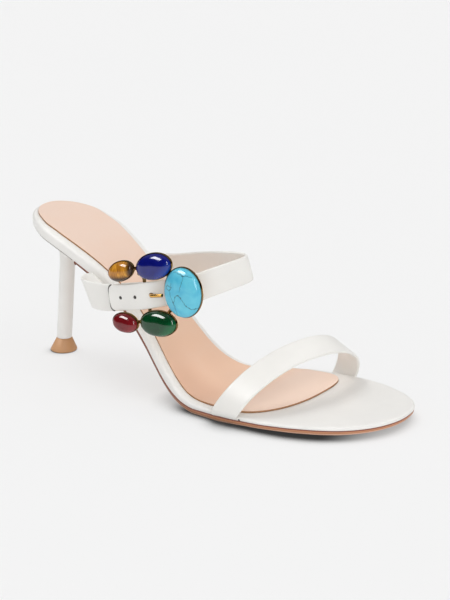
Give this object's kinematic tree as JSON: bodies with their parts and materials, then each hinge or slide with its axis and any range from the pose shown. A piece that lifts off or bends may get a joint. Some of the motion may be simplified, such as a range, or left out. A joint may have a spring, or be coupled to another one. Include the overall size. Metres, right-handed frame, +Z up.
{
  "type": "high-heeled mule",
  "caption": "High-heeled leather slide mule for the right foot: toe strap, buckled instep strap with an oval stone buckle, slender heel with a flared top piece.",
  "frame": {"origin": "middle of the shoe's box, on the floor that it stands on", "axes": "+X from the heel to the toe, +Y to the medial (inner) side, +Z up"},
  "size_m": [0.2234, 0.0914, 0.083],
  "materials": {
    "white_leather": "smooth semi-gloss calf leather",
    "nude_leather": "matt lining leather",
    "sole_leather": "stained and waxed sole edge",
    "tan_rubber": "matt",
    "gold_metal": "polished gold plate",
    "turquoise_stone": "polished cabochon with dark veins",
    "blue_stone": "polished cabochon",
    "brown_stone": "polished cabochon with amber bands",
    "green_stone": "polished cabochon",
    "red_stone": "polished cabochon"
  },
  "bodies": {
    "root": {"outsole": "sole_leather", "footbed": "white_leather", "sock": "nude_leather", "heel": "white_leather", "top_piece": "tan_rubber", "toe_strap": "white_leather", "instep_strap": "white_leather", "buckle_strap": "white_leather", "buckle_frame": "gold_metal", "prong": "gold_metal", "gem_turquoise": "turquoise_stone", "gem_blue": "blue_stone", "gem_brown": "brown_stone", "gem_green": "green_stone", "gem_red": "red_stone"}
  },
  "joints": []
}
